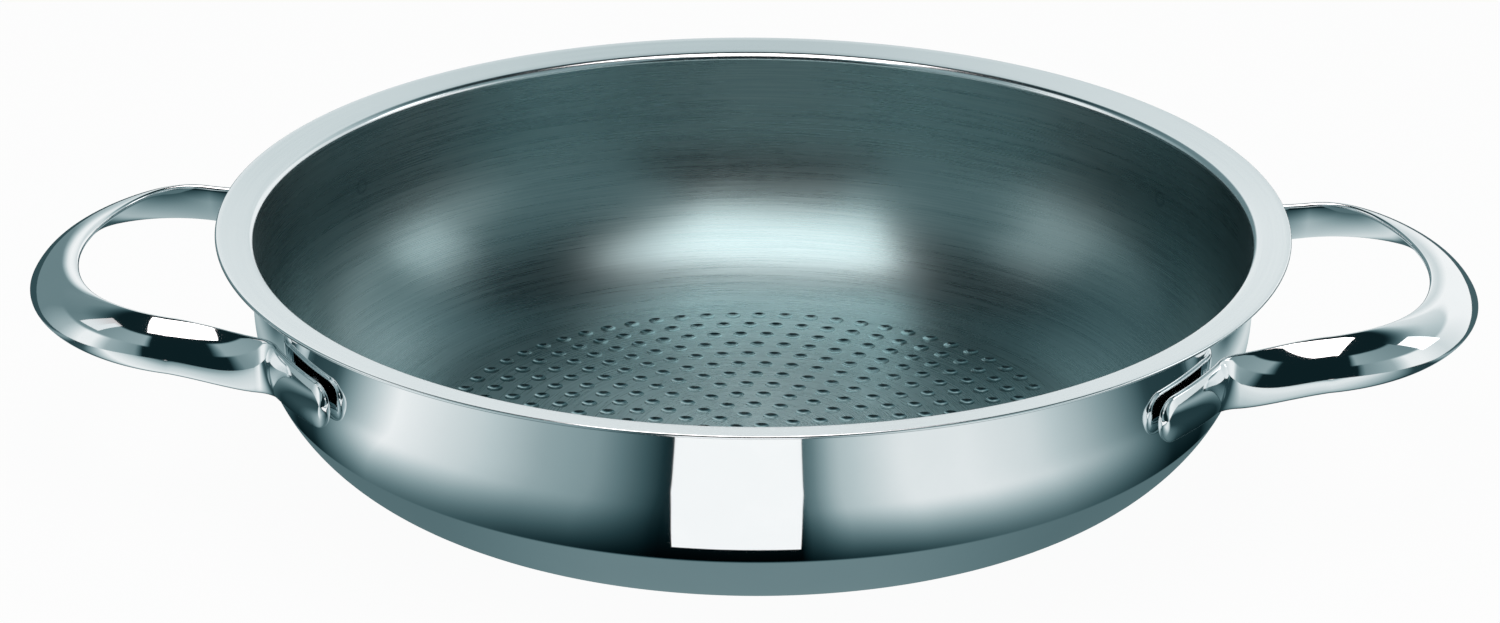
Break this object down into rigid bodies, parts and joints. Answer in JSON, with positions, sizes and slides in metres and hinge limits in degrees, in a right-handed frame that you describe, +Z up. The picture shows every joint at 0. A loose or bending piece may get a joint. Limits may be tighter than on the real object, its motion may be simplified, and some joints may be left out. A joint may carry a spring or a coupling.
{
  "type": "serving pan",
  "caption": "Round two-handled stainless steel serving pan with a pouring rim, rings of small hollows in the floor and looped handles.",
  "frame": {"origin": "centre of the underside, on the surface it stands on", "axes": "+X through the right handle, +Y to the back of the pan, +Z up along the pan's axis"},
  "size_m": [0.4092, 0.3018, 0.0704],
  "materials": {
    "pan_steel": "circular brushing inside, satin rim, mirror polish outside",
    "handle_steel": "mirror polish on cast stainless steel",
    "weld_steel": "matt weld metal",
    "spreader_aluminium": "rolled",
    "cap_steel": "circular brushing"
  },
  "bodies": {
    "root": {"pan_body": "pan_steel", "handle_left": "handle_steel", "handle_right": "handle_steel", "left_handle_spot_welds": "weld_steel", "right_handle_spot_welds": "weld_steel", "heat_spreader_disc": "spreader_aluminium", "base_cap": "cap_steel"}
  },
  "joints": []
}
